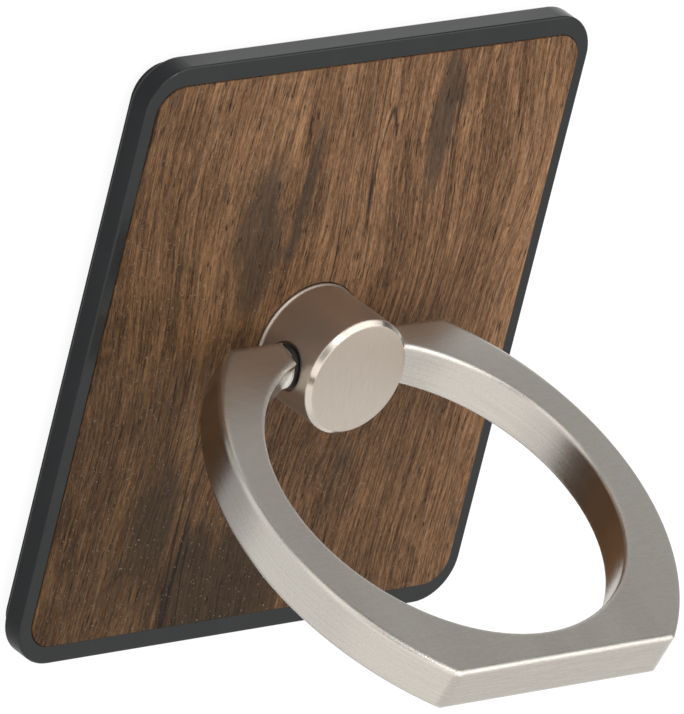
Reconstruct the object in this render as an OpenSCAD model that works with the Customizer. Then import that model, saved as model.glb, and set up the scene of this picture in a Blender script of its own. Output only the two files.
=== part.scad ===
// Phone ring holder: an adhesive plate with a wood inlay, and a finger ring that
// swivels on a post and flips about a cross pin.
// Millimetres, +Z out of the plate's front, +Y up the plate, origin in the middle
// of the adhesive face. The ring is drawn raised, as a stand.

/* [Plate] */
// Width of the plate
plate_w = 35; // [28:0.5:46]
// Height of the plate
plate_h = 40.1; // [32:0.1:52]
// Thickness of the tray's floor, which the two steel washers turn in
floor_t = 0.75; // [0.6:0.05:1.6]
// Corner radius of the plate
plate_corner_r = 2.9; // [2:0.1:8]
// Width of the bare rim beside the wood
rim_side_w = 0.82; // [0.6:0.02:2]
// Width of the bare rim above and below the wood
rim_end_w = 1.22; // [0.6:0.02:2]
// Rounding of the plate's front edge
front_edge_r = 0.14; // [0.06:0.02:0.3]
// Rounding of the plate's back edge
back_edge_r = 0.26; // [0.06:0.02:0.4]
// Thickness of the adhesive foam pad
pad_t = 0.8; // [0.3:0.05:2]
// Margin between the pad and the plate's edge
pad_margin = 0.8; // [0.5:0.1:3]

/* [Inlay and steel plate] */
// Thickness of the wood inlay
wood_t = 0.55; // [0.4:0.05:0.8]
// Height of the wood above the rim
wood_proud = 0.1; // [0:0.02:0.2]
// Eased edge round the wood's front
wood_edge = 0.06; // [0.02:0.01:0.12]
// Gap between the wood and the rim
wood_gap = 0.05; // [0.02:0.01:0.15]
// Thickness of the steel plate under the wood
steel_t = 0.4; // [0.25:0.05:0.6]

/* [Post] */
// Diameter of the post
post_d = 7.65; // [6.6:0.05:10]
// Height of the post above the plate's rim
post_h = 5.1; // [4.6:0.1:7]
// Width of the polished bevel round the post's face
post_bevel = 0.3; // [0.1:0.05:0.5]
// Flare of the foot where the post meets the wood
post_flare = 0.08; // [0.02:0.02:0.2]
// Height of the flared foot above the wood
foot_h = 0.22; // [0.1:0.02:0.4]
// Gap between the post's foot and the hole in the wood
post_gap = 0.07; // [0.04:0.01:0.2]
// Diameter of the stem that turns in the steel plate
stem_d = 4; // [3:0.1:5]
// Depth of the round seats in the post's sides
seat_depth = 0.35; // [0.2:0.05:0.6]
// Diameter of the round seats in the post's sides
seat_d = 3; // [2.2:0.1:3.6]
// Gap between the ring's bosses and the bottoms of their seats
seat_gap = 0.1; // [0.04:0.02:0.2]
// Gap round each boss in its seat
boss_gap = 0.15; // [0.08:0.01:0.3]
// Height of the hinge pin above the plate's rim
pivot_h = 2.5; // [2.2:0.05:3]

/* [Ring] */
// Widest width over the ring
ring_w = 28.85; // [26:0.05:34]
// Radius of the ring's long side curves
side_r = 18.05; // [16.5:0.05:24]
// Distance from the pin to the ring's flat foot
foot_reach = 25.95; // [25:0.05:32]
// Distance from the pin to the flat tops of the ring's ends
end_reach = 0.76; // [0.72:0.02:1.3]
// Thickness of the ring
ring_t = 3.1; // [2.2:0.1:3.4]
// Diameter of the finger hole
finger_d = 23.5; // [20:0.1:24]
// Distance from the pin to the middle of the finger hole
finger_reach = 12.05; // [11.9:0.05:13]
// Rounding of the finger hole's edges
finger_edge_r = 0.25; // [0.1:0.01:0.5]
// Rounding of the ring's outer edges
ring_edge_r = 0.32; // [0.06:0.01:0.4]
// Rounding of the corners between the ring's sides, foot and ends
ring_corner_r = 1.4; // [0.3:0.1:2]
// Gap between the ring's ends and the side of the post
end_gap = 0.38; // [0.25:0.01:0.6]
// Rounding of the corners of the ring's ends
end_corner_r = 0.3; // [0.1:0.05:0.4]
// Rounding of the bosses' edges
boss_edge_r = 0.08; // [0.04:0.01:0.12]
// Angle between the raised ring and the plate
raised_angle = 71.1; // [60:0.1:120]

/* [Pin and washers] */
// Diameter of the hinge pin
pin_d = 1.1; // [0.8:0.05:1.2]
// Depth that the pin goes into each end of the ring
pin_grip = 1.6; // [0.8:0.1:2.2]
// Thickness of the plastic bearing washer
bearing_t = 0.15; // [0.1:0.05:0.25]
// Margin between the bearing washer's edge and the post's side
bearing_margin = 0.35; // [0.1:0.05:0.8]
// Outer diameter of the two washers behind the steel plate
washer_d = 10.4; // [8:0.2:12]
// Thickness of the wave washer's strip
wave_strip_t = 0.12; // [0.08:0.01:0.16]
// Number of waves round the washer
wave_count = 3; // [2:1:5]
// Gap between the wave washer and the stem
wave_gap = 0.15; // [0.05:0.05:0.4]
// Gap between the washers and the round opening that they turn in
washer_gap = 0.3; // [0.1:0.05:0.6]
// Thickness of the retaining washer
retainer_t = 0.26; // [0.2:0.02:0.3]
// Thickness of the stem's peened end
peen_t = 0.08; // [0.05:0.01:0.1]
// Diameter of the stem's peened end
peen_d = 5.2; // [4.6:0.1:6.4]
// Clearance between turning faces
run_gap = 0.03; // [0.02:0.01:0.06]

/* [Hidden] */
$fn = 96;

// Levels up from the adhesive face
steel_z = pad_t + floor_t;
wood_z = steel_z + steel_t;
wood_top_z = wood_z + wood_t;
rim_z = wood_top_z - wood_proud;
plate_t = rim_z - pad_t;
shoulder_z = wood_z + bearing_t + 2 * run_gap;
face_z = rim_z + post_h;
pivot_z = rim_z + pivot_h;
peen_z = pad_t + run_gap;
retainer_z = peen_z + peen_t;
wave_z = retainer_z + retainer_t + run_gap;
wave_room = steel_z - run_gap - wave_z;

// Outlines in the plate
pocket_w = plate_w - 2 * rim_side_w;
pocket_h = plate_h - 2 * rim_end_w;
pocket_r = plate_corner_r - (rim_side_w + rim_end_w) / 2;
inlay_w = pocket_w - 2 * wood_gap;
inlay_h = pocket_h - 2 * wood_gap;
inlay_r = pocket_r - wood_gap;
pad_w = plate_w - 2 * pad_margin;
pad_h = plate_h - 2 * pad_margin;
pad_r = plate_corner_r - pad_margin;
washer_opening_d = washer_d + 2 * washer_gap;

// Post and ring
post_r = post_d / 2;
foot_r = post_r + post_flare;
stem_r = stem_d / 2;
bearing_d = post_d - 2 * bearing_margin;
seat_x = post_r - seat_depth;
boss_x = seat_x + seat_gap;
boss_r = seat_d / 2 - boss_gap;
end_x = post_r + end_gap;
pin_l = 2 * (boss_x + pin_grip);
fold_axis = [0, 0, pivot_z];

// Ring outline, from its widest line, which is midway between its foot and its ends
half_h = (foot_reach + end_reach) / 2;
widest_reach = foot_reach - half_h;
side_x = ring_w / 2 - side_r;

// How far a cutting solid passes what it cuts, how far a rounding's cutter crosses
// the faces that it joins, how deep a boss is rooted in the ring, and the steps in
// a rounded edge
through = 1;
graze = 0.01;
boss_root = 0.1;
edge_steps = 6;
steps_per_wave = 24;

// Points of a rounded edge about a middle, from one angle to another
function edge_arc(x, z, r, from, to) = [for (i = [0 : edge_steps])
    let (a = from + (to - from) * i / edge_steps)
    [x + r * cos(a), z + r * sin(a)]];

// Rounded edge of a plate whose side lies at x, from its back face up to its front face
function edge_points(x, t, r_low, r_high) = concat(
    edge_arc(x - r_low, r_low, r_low, -90, 0),
    edge_arc(x - r_high, t - r_high, r_high, 0, 90)
);

// Half section of the plate, from its middle out to that edge
function half_section(x, t, r_low, r_high) = concat([[0, 0]], edge_points(x, t, r_low, r_high), [[0, t]]);

// Full section of the plate, with the same edge on both sides
function full_section(x, t, r_low, r_high) =
    let (edge = edge_points(x, t, r_low, r_high))
    concat(edge, [for (i = [len(edge) - 1 : -1 : 0]) [-edge[i][0], edge[i][1]]]);

// Plate with round corners and rounded front and back edges
module rounded_plate(w, h, t, corner_r, r_low, r_high) {
    rotate([90, 0, 0])
        linear_extrude(h - 2 * corner_r, center = true)
            polygon(full_section(w / 2, t, r_low, r_high));
    rotate([90, 0, 90])
        linear_extrude(w - 2 * corner_r, center = true)
            polygon(full_section(h / 2, t, r_low, r_high));
    for (x = [-1, 1], y = [-1, 1])
        translate([x * (w / 2 - corner_r), y * (h / 2 - corner_r), 0])
            rotate_extrude()
                polygon(half_section(corner_r, t, r_low, r_high));
}

// Flat plate with round corners and square edges
module flat_plate(w, h, t, corner_r) {
    translate([-w / 2 + corner_r, -h / 2, 0])
        cube([w - 2 * corner_r, h, t]);
    translate([-w / 2, -h / 2 + corner_r, 0])
        cube([w, h - 2 * corner_r, t]);
    for (x = [-1, 1], y = [-1, 1])
        translate([x * (w / 2 - corner_r), y * (h / 2 - corner_r), 0])
            cylinder(h = t, r = corner_r);
}

// Flat washer standing on z = 0
module flat_washer(outer_d, inner_d, t) {
    difference() {
        cylinder(h = t, d = outer_d);
        translate([0, 0, -through])
            cylinder(h = t + 2 * through, d = inner_d);
    }
}

// Turns the ring's own plane, foot towards -Y and face towards +Z, to its raised place
module raised() {
    translate(fold_axis)
        rotate([-raised_angle, 0, 0])
            children();
}

// Foam pad with adhesive on both faces
module adhesive_pad() {
    color([0.16, 0.16, 0.17])
        flat_plate(pad_w, pad_h, pad_t, pad_r);
}

// Moulded tray: a thin wall round a pocket for the steel plate and the wood,
// and a round opening in its floor for the washers
module base_tray() {
    color([0.09, 0.09, 0.095])
        difference() {
            translate([0, 0, pad_t])
                rounded_plate(plate_w, plate_h, plate_t, plate_corner_r, back_edge_r, front_edge_r);
            translate([0, 0, steel_z])
                flat_plate(pocket_w, pocket_h, plate_t, pocket_r);
            translate([0, 0, pad_t - through])
                cylinder(h = floor_t + 2 * through, d = washer_opening_d);
        }
}

// Stamped steel plate that the post turns in, with rounded corners and a pierced hole
module steel_plate() {
    color([0.62, 0.63, 0.64])
        translate([0, 0, steel_z])
            difference() {
                flat_plate(inlay_w, inlay_h, steel_t, inlay_r);
                translate([0, 0, -through])
                    cylinder(h = steel_t + 2 * through, r = stem_r + run_gap);
            }
}

// Wood veneer panel with an eased edge and a hole round the post's foot
module wood_inlay() {
    color([0.36, 0.24, 0.17])
        translate([0, 0, wood_z])
            difference() {
                rounded_plate(inlay_w, inlay_h, wood_t, inlay_r, wood_edge / 2, wood_edge);
                translate([0, 0, -through])
                    cylinder(h = wood_t + 2 * through, r = foot_r + post_gap);
            }
}

// Plastic washer that the post's shoulder turns on
module bearing_washer() {
    color([0.9, 0.89, 0.84])
        translate([0, 0, wood_z + run_gap])
            flat_washer(bearing_d, stem_d + 2 * run_gap, bearing_t);
}

// Turned post: bevelled face, straight side with a flared foot, stem and peened end
module swivel_post() {
    color([0.74, 0.71, 0.67])
        difference() {
            rotate_extrude()
                polygon([
                    [0, peen_z],
                    [peen_d / 2 - peen_t / 2, peen_z],
                    [peen_d / 2, peen_z + peen_t / 2],
                    [peen_d / 2, retainer_z],
                    [stem_r, retainer_z],
                    [stem_r, shoulder_z],
                    [foot_r, shoulder_z],
                    [foot_r, wood_top_z + foot_h / 2],
                    [post_r, wood_top_z + foot_h],
                    [post_r, face_z - post_bevel],
                    [post_r - post_bevel, face_z],
                    [0, face_z]
                ]);
            // Cross hole for the pin
            translate(fold_axis)
                rotate([0, 90, 0])
                    cylinder(h = post_d + 2 * through, d = pin_d + 2 * run_gap, center = true);
            // Round seats that the ring's bosses turn in
            for (side = [-1, 1])
                translate([side * (seat_x + through), 0, pivot_z])
                    rotate([0, 90, 0])
                        cylinder(h = 2 * through, d = seat_d, center = true);
        }
}

// Height of the wave washer's strip at an angle, from 0 to the room that is left for it
function wave_at(a) = (wave_room - wave_strip_t) * (1 + sin(wave_count * a)) / 2;

// Wave washer: a flat spring strip bent into waves, which gives the swivel its friction
module wave_washer() {
    inner = stem_r + wave_gap;
    outer = washer_d / 2;
    steps = steps_per_wave * wave_count;
    rings = [for (i = [0 : steps - 1])
        let (a = 360 * i / steps)
        [for (c = [[inner, 0], [outer, 0], [outer, wave_strip_t], [inner, wave_strip_t]])
            [c[0] * cos(a), c[0] * sin(a), wave_z + wave_at(a) + c[1]]]];
    faces = [for (i = [0 : steps - 1], k = [0 : 3])
        let (j = (i + 1) % steps, m = (k + 1) % 4)
        [4 * i + k, 4 * i + m, 4 * j + m, 4 * j + k]];
    color([0.66, 0.67, 0.68])
        polyhedron(points = [for (ring = rings, p = ring) p], faces = faces);
}

// Flat washer that the stem's end is peened over
module retaining_washer() {
    color([0.6, 0.61, 0.62])
        translate([0, 0, retainer_z])
            flat_washer(washer_d, stem_d, retainer_t);
}

// Steel pin through the post, held in both ends of the ring
module hinge_pin() {
    color([0.7, 0.7, 0.7])
        translate(fold_axis)
            rotate([0, 90, 0])
                cylinder(h = pin_l, d = pin_d, center = true);
}

// Copies a shape to the other side of the ring
module both_sides() {
    children();
    mirror([1, 0, 0])
        children();
}

// Cutter that rounds an upright corner of the ring about a middle, between two directions
module corner_cutter(middle, from, to, r) {
    reach = r + through;
    halfway = (from + to) / 2;
    translate(middle)
        linear_extrude(ring_t + 2 * through, center = true)
            difference() {
                polygon([
                    [0, 0],
                    reach * [cos(from), sin(from)],
                    2 * reach * [cos(halfway), sin(halfway)],
                    reach * [cos(to), sin(to)]
                ]);
                circle(r = r + graze);
            }
}

// Disc with rounded rims, whose edge is one of the ring's long side curves
module side_disc() {
    rotate_extrude()
        translate([0, -ring_t / 2])
            polygon(half_section(side_r, ring_t, ring_edge_r, ring_edge_r));
}

// Ring blank about its widest line: two large discs make the sides, and a bar makes
// the flat foot and ends, with softened corners between them
module ring_blank() {
    corner_y = half_h - ring_corner_r;
    corner_x = side_x + sqrt(pow(side_r - ring_corner_r, 2) - pow(corner_y, 2));
    side_way = atan2(corner_y, corner_x - side_x);
    difference() {
        intersection() {
            translate([side_x, 0, 0])
                side_disc();
            translate([-side_x, 0, 0])
                side_disc();
            translate([0, 0, -ring_t / 2])
                rotate([90, 0, 90])
                    linear_extrude(ring_w + 2 * through, center = true)
                        polygon(full_section(half_h, ring_t, ring_edge_r, ring_edge_r));
        }
        both_sides() {
            corner_cutter([corner_x, corner_y, 0], side_way, 90, ring_corner_r);
            corner_cutter([corner_x, -corner_y, 0], -90, -side_way, ring_corner_r);
        }
    }
}

// Side of a cutter at x, flared to leave rounded edges on both faces of the ring
function flared_side(x, lip) = concat(
    edge_arc(x + lip, -ring_t / 2 + lip, lip, 270, 180),
    edge_arc(x + lip, ring_t / 2 - lip, lip, 180, 90)
);

// Finger hole with rounded edges on both faces
module finger_hole() {
    top = ring_t / 2 + through;
    side = flared_side(finger_d / 2, finger_edge_r);
    wide = side[0][0];
    rotate_extrude()
        polygon(concat([[0, -top], [wide, -top]], side, [[wide, top], [0, top]]));
}

// Room for the post between the ring's ends, with rounded edges and corners
module post_room() {
    top = ring_t / 2 + through;
    side = flared_side(end_x, ring_edge_r);
    wide = side[0][0];
    corner_x = end_x + end_corner_r;
    hole_y = sqrt(pow(finger_d / 2 + end_corner_r, 2) - pow(corner_x, 2));
    hole_way = 180 + atan2(hole_y, corner_x);
    both_sides() {
        rotate([90, 0, 0])
            linear_extrude(2 * finger_reach, center = true)
                polygon(concat([[0, -top], [wide, -top]], side, [[wide, top], [0, top]]));
        corner_cutter([corner_x, end_reach - end_corner_r, 0], 90, 180, end_corner_r);
        corner_cutter([corner_x, hole_y - finger_reach, 0], 180, hole_way, end_corner_r);
    }
}

// Round bosses on the ring's ends, which turn in the post's seats
module bosses() {
    both_sides()
        translate([boss_x, 0, 0])
            rotate([0, 90, 0])
                rotate_extrude()
                    polygon(half_section(boss_r, end_x - boss_x + boss_root, boss_edge_r, boss_edge_r));
}

// Finger ring: one die casting, open at the post, with a boss on each end
module finger_ring() {
    color([0.76, 0.73, 0.69])
        raised()
            difference() {
                union() {
                    difference() {
                        translate([0, -widest_reach, 0])
                            ring_blank();
                        translate([0, -finger_reach, 0])
                            finger_hole();
                        post_room();
                    }
                    bosses();
                }
                rotate([0, 90, 0])
                    cylinder(h = pin_l, d = pin_d, center = true);
            }
}

adhesive_pad();
base_tray();
steel_plate();
wood_inlay();
bearing_washer();
swivel_post();
wave_washer();
retaining_washer();
hinge_pin();
finger_ring();
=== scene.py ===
from math import cos, radians, sin

import bpy
from mathutils import Matrix, Vector


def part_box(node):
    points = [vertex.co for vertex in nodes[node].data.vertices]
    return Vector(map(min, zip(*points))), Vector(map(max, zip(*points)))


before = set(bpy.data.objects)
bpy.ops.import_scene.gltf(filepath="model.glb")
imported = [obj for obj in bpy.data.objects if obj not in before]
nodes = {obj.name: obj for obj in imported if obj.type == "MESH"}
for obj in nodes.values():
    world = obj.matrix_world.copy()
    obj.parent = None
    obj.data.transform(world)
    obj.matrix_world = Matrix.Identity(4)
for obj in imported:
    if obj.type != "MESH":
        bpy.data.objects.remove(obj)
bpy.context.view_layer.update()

MM = 0.001


# The camera stands off the plate's upper left corner, as the plate lies with its ring up, and is
# turned so that the plate's long side runs up the picture. It is a long lens from nearly a metre.
picture_h = 714
focal_length_px = 16000
camera_place = Vector((-620.7, 396, 616.3)) * MM
camera_looks = Vector((0.64909, -0.41352, -0.6385))
camera_up = Vector((0.11518, 0.8831, -0.45484))
nearest_seen = 0.02
farthest_seen = 20

camera_data = bpy.data.cameras.new("camera")
camera_data.lens = focal_length_px * camera_data.sensor_width / picture_h
camera_data.clip_start = nearest_seen
camera_data.clip_end = farthest_seen
camera = bpy.data.objects.new("camera", camera_data)
camera_turn = Matrix((camera_looks.cross(camera_up), camera_up, -camera_looks)).transposed()
camera.matrix_world = Matrix.LocRotScale(camera_place, camera_turn.to_quaternion(), None)
bpy.context.scene.collection.objects.link(camera)
bpy.context.scene.camera = camera
bpy.context.scene.view_settings.view_transform = "Standard"


# Adhesive pad: closed-cell foam, cut to the plate's outline and set in a little from its edge,
# with adhesive on both faces. Only its edge shows behind the plate.
class Value:
    """A number in a pattern that changes over the surface. Arithmetic on it adds Math nodes."""

    def __init__(self, pattern, socket):
        self.pattern = pattern
        self.socket = socket

    def math(self, operation, *values):
        inputs = dict(enumerate(values))
        return self.pattern.node("ShaderNodeMath", {"operation": operation}, inputs)

    def __add__(self, other):
        return self.math("ADD", self, other)

    def __sub__(self, other):
        return self.math("SUBTRACT", self, other)

    def __rsub__(self, other):
        return self.math("SUBTRACT", other, self)

    def __mul__(self, other):
        return self.math("MULTIPLY", self, other)

    def __gt__(self, other):
        return self.math("GREATER_THAN", self, other)

    def __lt__(self, other):
        return self.math("LESS_THAN", self, other)

    def __abs__(self):
        return self.math("ABSOLUTE", self)

    __radd__ = __add__
    __rmul__ = __mul__


class Pattern:
    """Nodes in the tree of a finish or of the surround."""

    def __init__(self, tree):
        self.tree = tree

    def node(self, kind, settings=None, inputs=None, output=0):
        made = self.tree.nodes.new(kind)
        for name, setting in (settings or {}).items():
            if name == "stops":
                self.set_stops(made.color_ramp, setting)
            else:
                setattr(made, name, setting)
        for name, value in (inputs or {}).items():
            if isinstance(value, Value):
                self.tree.links.new(value.socket, made.inputs[name])
            else:
                made.inputs[name].default_value = value
        return Value(self, made.outputs[output])

    def set_stops(self, ramp, stops):
        while len(ramp.elements) < len(stops):
            ramp.elements.new(1)
        for element, (position, colour) in zip(ramp.elements, stops):
            element.position = position
            element.color = (*colour, 1)

    def noise(self, place, detail=2, roughness=0.5):
        inputs = {"Vector": place, "Scale": 1, "Detail": detail, "Roughness": roughness}
        return self.node("ShaderNodeTexNoise", inputs=inputs)

    def ramp(self, value, *stops):
        return self.node("ShaderNodeValToRGB", {"stops": stops}, {"Fac": value})

    def between(self, value, low, high, to_low=0, to_high=1):
        """Goes smoothly from one number to another while the value goes from low to high."""
        inputs = {"Value": value, "From Min": low, "From Max": high,
                  "To Min": to_low, "To Max": to_high}
        return self.node("ShaderNodeMapRange", {"interpolation_type": "SMOOTHSTEP"}, inputs)

    def along(self, place, direction):
        """How far a place lies in a direction, or how near two directions are."""
        return self.node("ShaderNodeVectorMath", {"operation": "DOT_PRODUCT"},
                         {0: place, 1: direction}, output="Value")

    def length(self, place):
        """How far a place is from the origin."""
        return self.node("ShaderNodeVectorMath", {"operation": "LENGTH"}, {0: place},
                         output="Value")

    def mix(self, share, colour_a, colour_b, blend="MIX"):
        return self.node("ShaderNodeMix", {"data_type": "RGBA", "blend_type": blend},
                         {"Factor": share, 6: colour_a, 7: colour_b}, output=2)


class Finish(Pattern):
    """A material whose Principled shader has fixed values, and patterns linked to a few of them."""

    edge_samples = 6

    def __init__(self, name, **constants):
        self.material = bpy.data.materials.new(name)
        self.material.use_nodes = True
        super().__init__(self.material.node_tree)
        self.shader = self.tree.nodes["Principled BSDF"]
        for name, value in constants.items():
            self.shader.inputs[name.replace("_", " ")].default_value = value
        self.place = self.node("ShaderNodeTexCoord", output="Object")

    def stretched(self, x, y, z, offset=(0, 0, 0)):
        """Object coordinates with that many units to a millimetre along each axis."""
        inputs = {"Vector": self.place, "Location": offset, "Scale": (x / MM, y / MM, z / MM)}
        return self.node("ShaderNodeMapping", inputs=inputs)

    def rounded(self, radius):
        """The surface's direction, with its edges rounded to that radius in millimetres."""
        return self.node("ShaderNodeBevel", {"samples": self.edge_samples}, {"Radius": radius * MM})

    def bump(self, height, depth, softened=0):
        """Relief of that depth in millimetres where the height goes from 0 to 1. Edges can be
        softened over that many millimetres."""
        inputs = {"Strength": 1, "Distance": depth * MM, "Height": height}
        if softened:
            inputs["Normal"] = self.rounded(softened)
        return self.node("ShaderNodeBump", inputs=inputs)

    def feed(self, **patterns):
        for name, value in patterns.items():
            self.tree.links.new(value.socket, self.shader.inputs[name.replace("_", " ")])

    def cover(self, piece):
        """Gives the finish to a piece, in place of the plain one that it came with."""
        piece.data.materials.clear()
        piece.data.materials.append(self.material)


foam_dark = (0.018, 0.018, 0.019)
foam_light = (0.04, 0.04, 0.042)
cell_depth = 0.05

foam = Finish("closed_cell_foam", Roughness=0.85)
cells = foam.noise(foam.stretched(9, 9, 9), detail=3)
foam.feed(
    Base_Color=foam.ramp(cells, (0.35, foam_dark), (0.65, foam_light)),
    Normal=foam.bump(cells, cell_depth),
)
foam.cover(nodes["adhesive_pad"])


# Base tray: one injection moulding in black plastic with a satin skin. Its thin rim stands round
# the wood, and its front edge has a small crisp rounding that catches the light.
plastic_dark = (0.0056, 0.0068, 0.008)
plastic_light = (0.008, 0.0094, 0.0107)
skin_depth = 0.003

black_plastic = Finish("satin_black_plastic", Specular_IOR_Level=0.43)
skin = black_plastic.noise(black_plastic.stretched(14, 14, 14), detail=4, roughness=0.6)
clouds = black_plastic.noise(black_plastic.stretched(0.35, 0.35, 0.6), detail=2)
black_plastic.feed(
    Base_Color=black_plastic.ramp(clouds, (0.3, plastic_dark), (0.7, plastic_light)),
    Roughness=black_plastic.between(clouds * 0.6 + skin * 0.4, 0.3, 0.7, 0.1, 0.18),
    Normal=black_plastic.bump(skin, skin_depth),
)
black_plastic.cover(nodes["base_tray"])


# Steel plate: stamped from cold-rolled sheet and laid in the tray, under the wood. The post's stem
# turns in its hole. It is out of sight on the finished holder.
sheet_dark = (0.5, 0.5, 0.51)
sheet_light = (0.62, 0.62, 0.63)
rolling_depth = 0.004

rolled_steel = Finish("rolled_steel", Metallic=1)
rolling = rolled_steel.noise(rolled_steel.stretched(20, 0.3, 20), detail=4)
rolled_steel.feed(
    Base_Color=rolled_steel.ramp(rolling, (0.3, sheet_dark), (0.7, sheet_light)),
    Roughness=rolled_steel.between(rolling, 0.3, 0.7, 0.3, 0.42),
    Normal=rolled_steel.bump(rolling, rolling_depth),
)
rolled_steel.cover(nodes["steel_plate"])


# Wood inlay: a thin panel of dark open-grained wood, oiled and not varnished, with the grain up the
# plate. Broad bands of colour, long streaks, fine fibres, dark pores and a few splits lie over it.
# It is darker towards the lower left, partly its own tone and partly painted shade.
wood_tones = (
    (0.25, (0.035, 0.017, 0.008)),
    (0.4, (0.11, 0.054, 0.025)),
    (0.53, (0.2, 0.104, 0.051)),
    (0.72, (0.37, 0.2, 0.103)),
)
pale_fibre = (0.42, 0.235, 0.12, 1)
brown_fibre = (0.04, 0.024, 0.015, 1)
smoke_brown = (0.052, 0.034, 0.022, 1)
pore_black = (0.014, 0.009, 0.007, 1)
split_black = (0.012, 0.008, 0.006, 1)
dust_grey = (0.6, 0.52, 0.42, 1)
# Tones for the lower left and upper right of the panel: painted shade and painted light, partly the
# wood's own tone.
shaded_corner_tone = (0.48, 0.47, 0.4)
lit_corner_tone = (1, 1, 1)
grain_bend = 6
grain_depth = 0.05

# Each smoky patch: its x, y, width and length in millimetres, and how dark it is.
smoke_places = (
    (-6.5, 7, 4.5, 11, 1),
    (-2.5, -17, 7, 8, 1.5),
    (-9, -11, 4, 9, 1),
    (7, 14, 2.2, 7, 1),
    (-3, 12, 0.8, 11, 1),
    (-5, -18, 1.2, 7, 1),
    (5.5, -9.5, 2.5, 6, 0.7),
)

walnut = Finish("dark_open_grained_wood", Specular_IOR_Level=0.14)
bend = walnut.noise(walnut.stretched(0.06, 0.035, 0.06), detail=1)
straight = walnut.stretched(1, 1, 1)
sideways = walnut.node("ShaderNodeCombineXYZ", inputs={"X": (bend - 0.5) * grain_bend})
grain = walnut.node("ShaderNodeVectorMath", {"operation": "ADD"}, {0: straight, 1: sideways})


def along_grain(across, along, offset):
    """The bent grain's coordinates, with that many units to a millimetre across and along it."""
    inputs = {"Vector": grain, "Scale": (across, along, across), "Location": (offset, offset, 0)}
    return walnut.node("ShaderNodeMapping", inputs=inputs)


def patch(x, y, width, length):
    """A soft oval round a place on the panel, in millimetres, 1 in its middle and 0 at its edge."""
    place = walnut.stretched(1 / width, 1 / length, 0, offset=(-x / width, -y / length, 0))
    return 1 - walnut.between(walnut.length(place), 0, 1)


bands = walnut.noise(along_grain(0.2, 0.03, 3), detail=2)
streaks = walnut.noise(along_grain(1.3, 0.07, 11), detail=5, roughness=0.7)
fibres = walnut.noise(along_grain(5.5, 0.24, 23), detail=5, roughness=0.75)
light_noise = walnut.noise(along_grain(8, 0.3, 29), detail=3)
light_fibres = walnut.between(light_noise, 0.57, 0.7)
dark_noise = walnut.noise(along_grain(3.4, 0.2, 31), detail=5, roughness=0.75)
dark_fibres = walnut.between(dark_noise, 0.53, 0.66)
pore_noise = walnut.noise(along_grain(6, 0.6, 37), detail=4, roughness=0.7)
pores = walnut.between(pore_noise, 0.585, 0.66)
smoke_patches = sum(patch(*place) * darkness for *place, darkness in smoke_places)
smoke_noise = walnut.noise(along_grain(0.4, 0.09, 51), detail=6, roughness=0.7)
smoke = walnut.between(smoke_noise + smoke_patches * 0.28, 0.55, 0.75)
split_line = abs(walnut.noise(along_grain(0.3, 0.02, 67), detail=1) - 0.5)
opened = walnut.between(walnut.noise(along_grain(0.25, 0.06, 71), detail=1), 0.52, 0.6)
splits = (1 - walnut.between(split_line, 0, 0.007)) * opened
dust = walnut.between(walnut.noise(walnut.stretched(7, 7, 7), detail=1), 0.7, 0.76)
grit = walnut.noise(along_grain(11, 2.2, 83), detail=3, roughness=0.7)
# Darker towards the lower left: partly the wood's own tone, partly painted shade for light falling
# off from the upper right.
heartwood_and_lit_side = walnut.between(walnut.along(straight, (0.75, 0.65, 0)), -20, 18)

tone = bands * 0.4 + streaks * 0.4 + fibres * 0.9 + grit * 0.6 - 0.665
plain_wood = walnut.ramp(tone, *wood_tones)
with_light_fibres = walnut.mix(light_fibres * 0.35, plain_wood, pale_fibre)
with_dark_fibres = walnut.mix(dark_fibres * 0.6, with_light_fibres, brown_fibre)
with_smoke = walnut.mix(smoke * 0.75, with_dark_fibres, smoke_brown)
with_pores = walnut.mix(pores * 0.9, with_smoke, pore_black)
with_splits = walnut.mix(splits * 0.85, with_pores, split_black)
with_dust = walnut.mix(dust * (1 - heartwood_and_lit_side) * 0.6, with_splits, dust_grey)
heartwood_and_painted_shade = walnut.ramp(heartwood_and_lit_side, (0, shaded_corner_tone), (1, lit_corner_tone))
grain_relief = fibres * 0.5 + streaks * 0.3 - pores * 0.5 - splits * 0.6
walnut.feed(
    Base_Color=walnut.mix(1, with_dust, heartwood_and_painted_shade, "MULTIPLY"),
    Roughness=walnut.between(fibres, 0.3, 0.7, 0.62, 0.46),
    Normal=walnut.bump(grain_relief, grain_depth),
)
walnut.cover(nodes["wood_inlay"])


# Bearing washer: punched from nylon sheet. It lies loose between the steel plate and the post's
# shoulder, and is out of sight on the finished holder.
nylon_dark = (0.74, 0.72, 0.66)
nylon_light = (0.82, 0.8, 0.75)
mottle_depth = 0.004

nylon = Finish("nylon_sheet", Roughness=0.5, Subsurface_Weight=0.1)
mottle = nylon.noise(nylon.stretched(3, 3, 3), detail=3)
nylon.feed(
    Base_Color=nylon.ramp(mottle, (0.3, nylon_dark), (0.7, nylon_light)),
    Normal=nylon.bump(mottle, mottle_depth),
)
nylon.cover(nodes["bearing_washer"])


# Swivel post: turned, then nickel plated. The face is brushed along the plate, the bevel round it
# is polished, and the side keeps the lathe's fine rings.
nickel_light = (0.66, 0.59, 0.52)
nickel_dark = (0.58, 0.51, 0.445)
post_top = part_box("swivel_post")[1]
face_start = post_top.z - 0.02 * MM
bevel_start = face_start - 0.3 * MM
brushing_depth = 0.005
post_softening = 0.16

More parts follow.
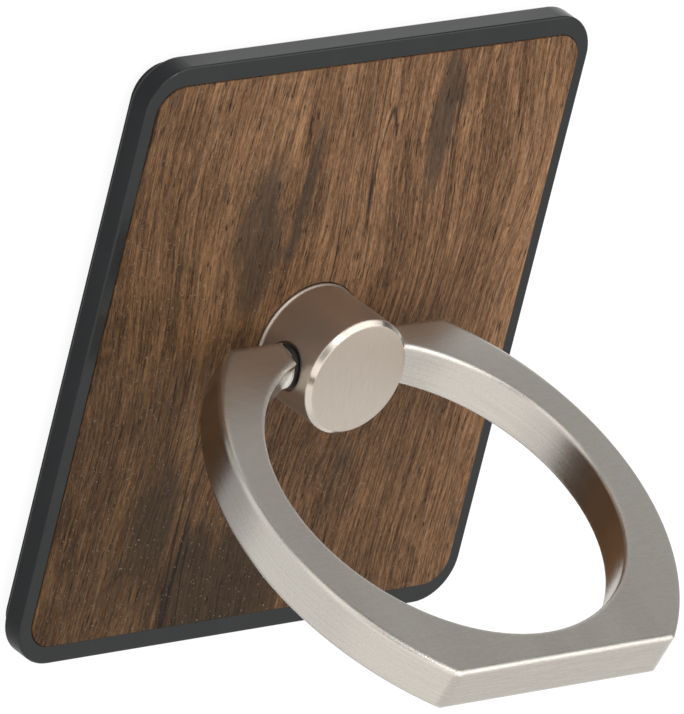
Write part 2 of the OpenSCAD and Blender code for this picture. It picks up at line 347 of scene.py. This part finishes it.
brushed_nickel = Finish("brushed_nickel", Metallic=1)
height_up = brushed_nickel.node("ShaderNodeSeparateXYZ", inputs={"Vector": brushed_nickel.place},
                                output="Z")
on_face = height_up > face_start
on_bevel = (height_up > bevel_start) - on_face
brushing = brushed_nickel.noise(brushed_nickel.stretched(22, 0.8, 22), detail=4, roughness=0.6)
turning = brushed_nickel.noise(brushed_nickel.stretched(0.05, 0.05, 30), detail=3)
post_marks = brushing * on_face + turning * (1 - on_face) * (1 - on_bevel)
brushed_nickel.feed(
    Base_Color=brushed_nickel.ramp(
        post_marks, (0, nickel_light), (0.3, nickel_dark), (0.7, nickel_light)),
    Roughness=0.36 - on_face * 0.06 - on_bevel * 0.2 + post_marks * 0.08,
    Normal=brushed_nickel.bump(post_marks, brushing_depth, softened=post_softening),
)
brushed_nickel.cover(nodes["swivel_post"])


# Wave washer: spring steel strip, blued by its heat treatment. It lies under the steel plate, and
# its waves press the post down on the plate.
blued = (0.25, 0.27, 0.33)
straw = (0.4, 0.39, 0.38)

spring_steel = Finish("blued_spring_steel", Metallic=1, Roughness=0.32)
heat = spring_steel.noise(spring_steel.stretched(0.6, 0.6, 0.6), detail=3)
spring_steel.feed(Base_Color=spring_steel.ramp(heat, (0.35, blued), (0.65, straw)))
spring_steel.cover(nodes["wave_washer"])


# Retaining washer: punched from steel and zinc plated. The end of the post's stem is peened over
# it, behind the plate.
zinc_dark = (0.5, 0.51, 0.53)
zinc_light = (0.62, 0.63, 0.64)

zinc_plate = Finish("zinc_plated_steel", Metallic=1)
spangle = zinc_plate.noise(zinc_plate.stretched(2, 2, 2), detail=4)
zinc_plate.feed(
    Base_Color=zinc_plate.ramp(spangle, (0.3, zinc_dark), (0.7, zinc_light)),
    Roughness=zinc_plate.between(spangle, 0.3, 0.7, 0.3, 0.45),
)
zinc_plate.cover(nodes["retaining_washer"])


# Hinge pin: ground steel rod. It is pressed into both ends of the ring, and turns in the post's
# cross hole.
rod_dark = (0.52, 0.52, 0.53)
rod_light = (0.64, 0.64, 0.65)

ground_steel = Finish("ground_steel", Metallic=1)
grinding = ground_steel.noise(ground_steel.stretched(25, 1, 1), detail=3)
ground_steel.feed(
    Base_Color=ground_steel.ramp(grinding, (0.3, rod_dark), (0.7, rod_light)),
    Roughness=ground_steel.between(grinding, 0.3, 0.7, 0.18, 0.3),
)
ground_steel.cover(nodes["hinge_pin"])


# Finger ring: die cast, linished and plated in satin nickel. Its edges carry a painted highlight,
# near white and less metallic. The brushing runs across the ring, along the hinge. The round bosses
# on its ends turn against the post, and are painted black for the shade in the gap between ring and
# post.
satin_dark = (0.54, 0.505, 0.455)
satin_light = (0.66, 0.625, 0.575)
painted_highlight_white = (1, 0.98, 0.94, 1)
# Painted shadow: the bosses are painted black and not metallic, for the shade in the gap between
# the ring's ends and the post.
painted_gap_shadow = (0.012, 0.011, 0.01, 1)
hinge_level_mm = 4.9
ring_end_x = 4.1 * MM
boss_reach_mm = 1.6
raised = radians(71.1)
across_faces = (0, sin(raised) / MM, cos(raised) / MM)
brushing_length = 4 * MM
ring_mark_depth = 0.008
painted_highlight_width = 0.4
ring_softening = 0.36

satin_nickel = Finish("satin_nickel", Metallic=1)
side = satin_nickel.node("ShaderNodeSeparateXYZ", inputs={"Vector": satin_nickel.place},
                         output="X")
hinge_place = satin_nickel.stretched(0, 1, 1, offset=(0, 0, -hinge_level_mm))
from_hinge = satin_nickel.length(hinge_place)
on_boss = (abs(side) < ring_end_x) * (from_hinge < boss_reach_mm)
depth_in_ring = satin_nickel.along(satin_nickel.place, across_faces)
drawn_place = satin_nickel.node(
    "ShaderNodeCombineXYZ", inputs={"X": depth_in_ring * 9, "Y": side * (1 / brushing_length)})
drawn = satin_nickel.noise(drawn_place, detail=3, roughness=0.6)
linishing = satin_nickel.noise(satin_nickel.stretched(0.7, 20, 20), detail=4, roughness=0.6)
sand = satin_nickel.noise(satin_nickel.stretched(9, 9, 9), detail=3)
ring_marks = linishing * 0.35 + drawn * 0.35 + sand * 0.3
plating = satin_nickel.ramp(ring_marks, (0.38, satin_dark), (0.62, satin_light))
facing = satin_nickel.node("ShaderNodeNewGeometry", output="Normal")
# Painted highlight: the rounded edges are painted near white and made less metallic.
flatness = satin_nickel.along(satin_nickel.rounded(painted_highlight_width), facing)
painted_highlight_edges = (1 - satin_nickel.between(flatness, 0.88, 0.99)) * (1 - on_boss)
with_painted_highlights = satin_nickel.mix(painted_highlight_edges, plating, painted_highlight_white)
satin_sheen = satin_nickel.between(ring_marks, 0.35, 0.65, 0.17, 0.27)
satin_nickel.feed(
    Base_Color=satin_nickel.mix(on_boss, with_painted_highlights, painted_gap_shadow),
    Metallic=1 - on_boss - painted_highlight_edges * 0.5,
    Roughness=satin_sheen + on_boss * 0.35 - painted_highlight_edges * 0.1,
    Normal=satin_nickel.bump(ring_marks, ring_mark_depth, softened=ring_softening),
)
satin_nickel.cover(nodes["finger_ring"])


# The floor is a wide pale sheet that the pad rests on. The camera and the metal see it as white,
# with a soft shadow of the holder. For the metal its glow is dimmed to the left and behind the
# holder: painted shade and a painted shadow that show in the metal's reflections.
floor_side = 4
floor_gap = 0.02 * MM
sheet_white = (0.8, 0.8, 0.8, 1)
glow_white = (1, 1, 1, 1)
glow_strength = 1.12
glow_share = 0.8
far_corner = (0.65, 0.76, 0)

bpy.ops.mesh.primitive_plane_add(size=floor_side, location=(0, 0, -floor_gap))
floor = bpy.context.object
floor.name = "floor"
pale_sheet = Finish("pale_sheet", Base_Color=sheet_white, Roughness=0.9, Specular_IOR_Level=0)
sheet_mm = pale_sheet.stretched(1, 1, 1)
# Painted shade in the glow that the metal sees: dimmer behind the holder, and a painted shadow to
# its left.
behind = pale_sheet.between(pale_sheet.along(sheet_mm, far_corner), 24, 34)
leftward = pale_sheet.along(sheet_mm, (-1, 0, 0))
painted_left_shadow = pale_sheet.between(leftward, 10, 17) * (1 - pale_sheet.between(leftward, 22, 34))
to_camera = pale_sheet.node("ShaderNodeLightPath", output="Is Camera Ray")
to_metal = pale_sheet.node("ShaderNodeLightPath", output="Is Glossy Ray")
to_glass = pale_sheet.node("ShaderNodeLightPath", output="Is Transmission Ray")
painted_dimming = to_metal * (behind * 0.6 + painted_left_shadow * 0.56 + 0.2)
glow = pale_sheet.node("ShaderNodeEmission",
                       inputs={"Color": glow_white, "Strength": glow_strength - painted_dimming})
lit_sheet = pale_sheet.node(
    "ShaderNodeMixShader",
    inputs={0: (to_camera + to_metal + to_glass) * glow_share,
            1: Value(pale_sheet, pale_sheet.shader.outputs[0]),
            2: glow})
sheet_surface = pale_sheet.tree.nodes["Material Output"].inputs["Surface"]
pale_sheet.tree.links.new(lit_sheet.socket, sheet_surface)
pale_sheet.cover(floor)


# Soft studio light: a pale tent that is brighter overhead, round the camera and on a card at the
# left, with a dark gap for the camera and a dark low wall behind the holder. A softbox and a thin
# tube stand above the top of the picture.
tent_white = (1, 0.99, 0.975, 1)
tent_strength = 0.82
card_direction = (-0.61, -0.74, 0.28)
holder_middle = Vector((0, 0, 10 * MM))

tent = bpy.data.worlds.new("pale_tent")
tent.use_nodes = True
tent_wall = Pattern(tent.node_tree)
looking = tent_wall.node("ShaderNodeTexCoord", output="Generated")
upward = tent_wall.along(looking, (0, 0, 1))
overhead = tent_wall.between(upward, 0.6, 1)
low_wall = (tent_wall.between(tent_wall.along(looking, far_corner), 0.55, 0.85)
            * (1 - tent_wall.between(upward, 0.25, 0.42)))
toward_camera = tent_wall.along(looking, tuple(-camera_looks))
camera_gap = tent_wall.between(toward_camera, 0.94, 0.985)
front_light = tent_wall.between(toward_camera, 0.5, 0.8)
left_card = tent_wall.between(tent_wall.along(looking, card_direction), 0.8, 0.95)
tent_light = (tent_strength + overhead * 0.4 + left_card * 0.22 + front_light * 0.4
              - low_wall * 0.68 - camera_gap * 0.95)
seen_by_camera = tent_wall.node("ShaderNodeLightPath", output="Is Camera Ray")
tent_background = tent.node_tree.nodes["Background"]
tent_background.inputs["Color"].default_value = tent_white
tent.node_tree.links.new((tent_light * (1 - seen_by_camera) + seen_by_camera).socket,
                         tent_background.inputs["Strength"])
bpy.context.scene.world = tent


def lamp(name, direction, distance, width, height, watts):
    """An area lamp that faces the holder from a direction, with its sizes in metres."""
    lamp_data = bpy.data.lights.new(name, "AREA")
    lamp_data.shape = "RECTANGLE"
    lamp_data.size = width
    lamp_data.size_y = height
    lamp_data.energy = watts
    made = bpy.data.objects.new(name, lamp_data)
    away = Vector(direction).normalized()
    place = holder_middle + away * distance
    made.matrix_world = Matrix.LocRotScale(place, away.to_track_quat("Z", "Y"), None)
    made.visible_camera = False
    bpy.context.scene.collection.objects.link(made)


lamp("softbox", (0.5, 0.6, 0.62), distance=0.3, width=0.3, height=0.3, watts=0.25)
lamp("tube", (0.12, 0.62, 0.74), distance=0.27, width=0.36, height=0.012, watts=0.11)
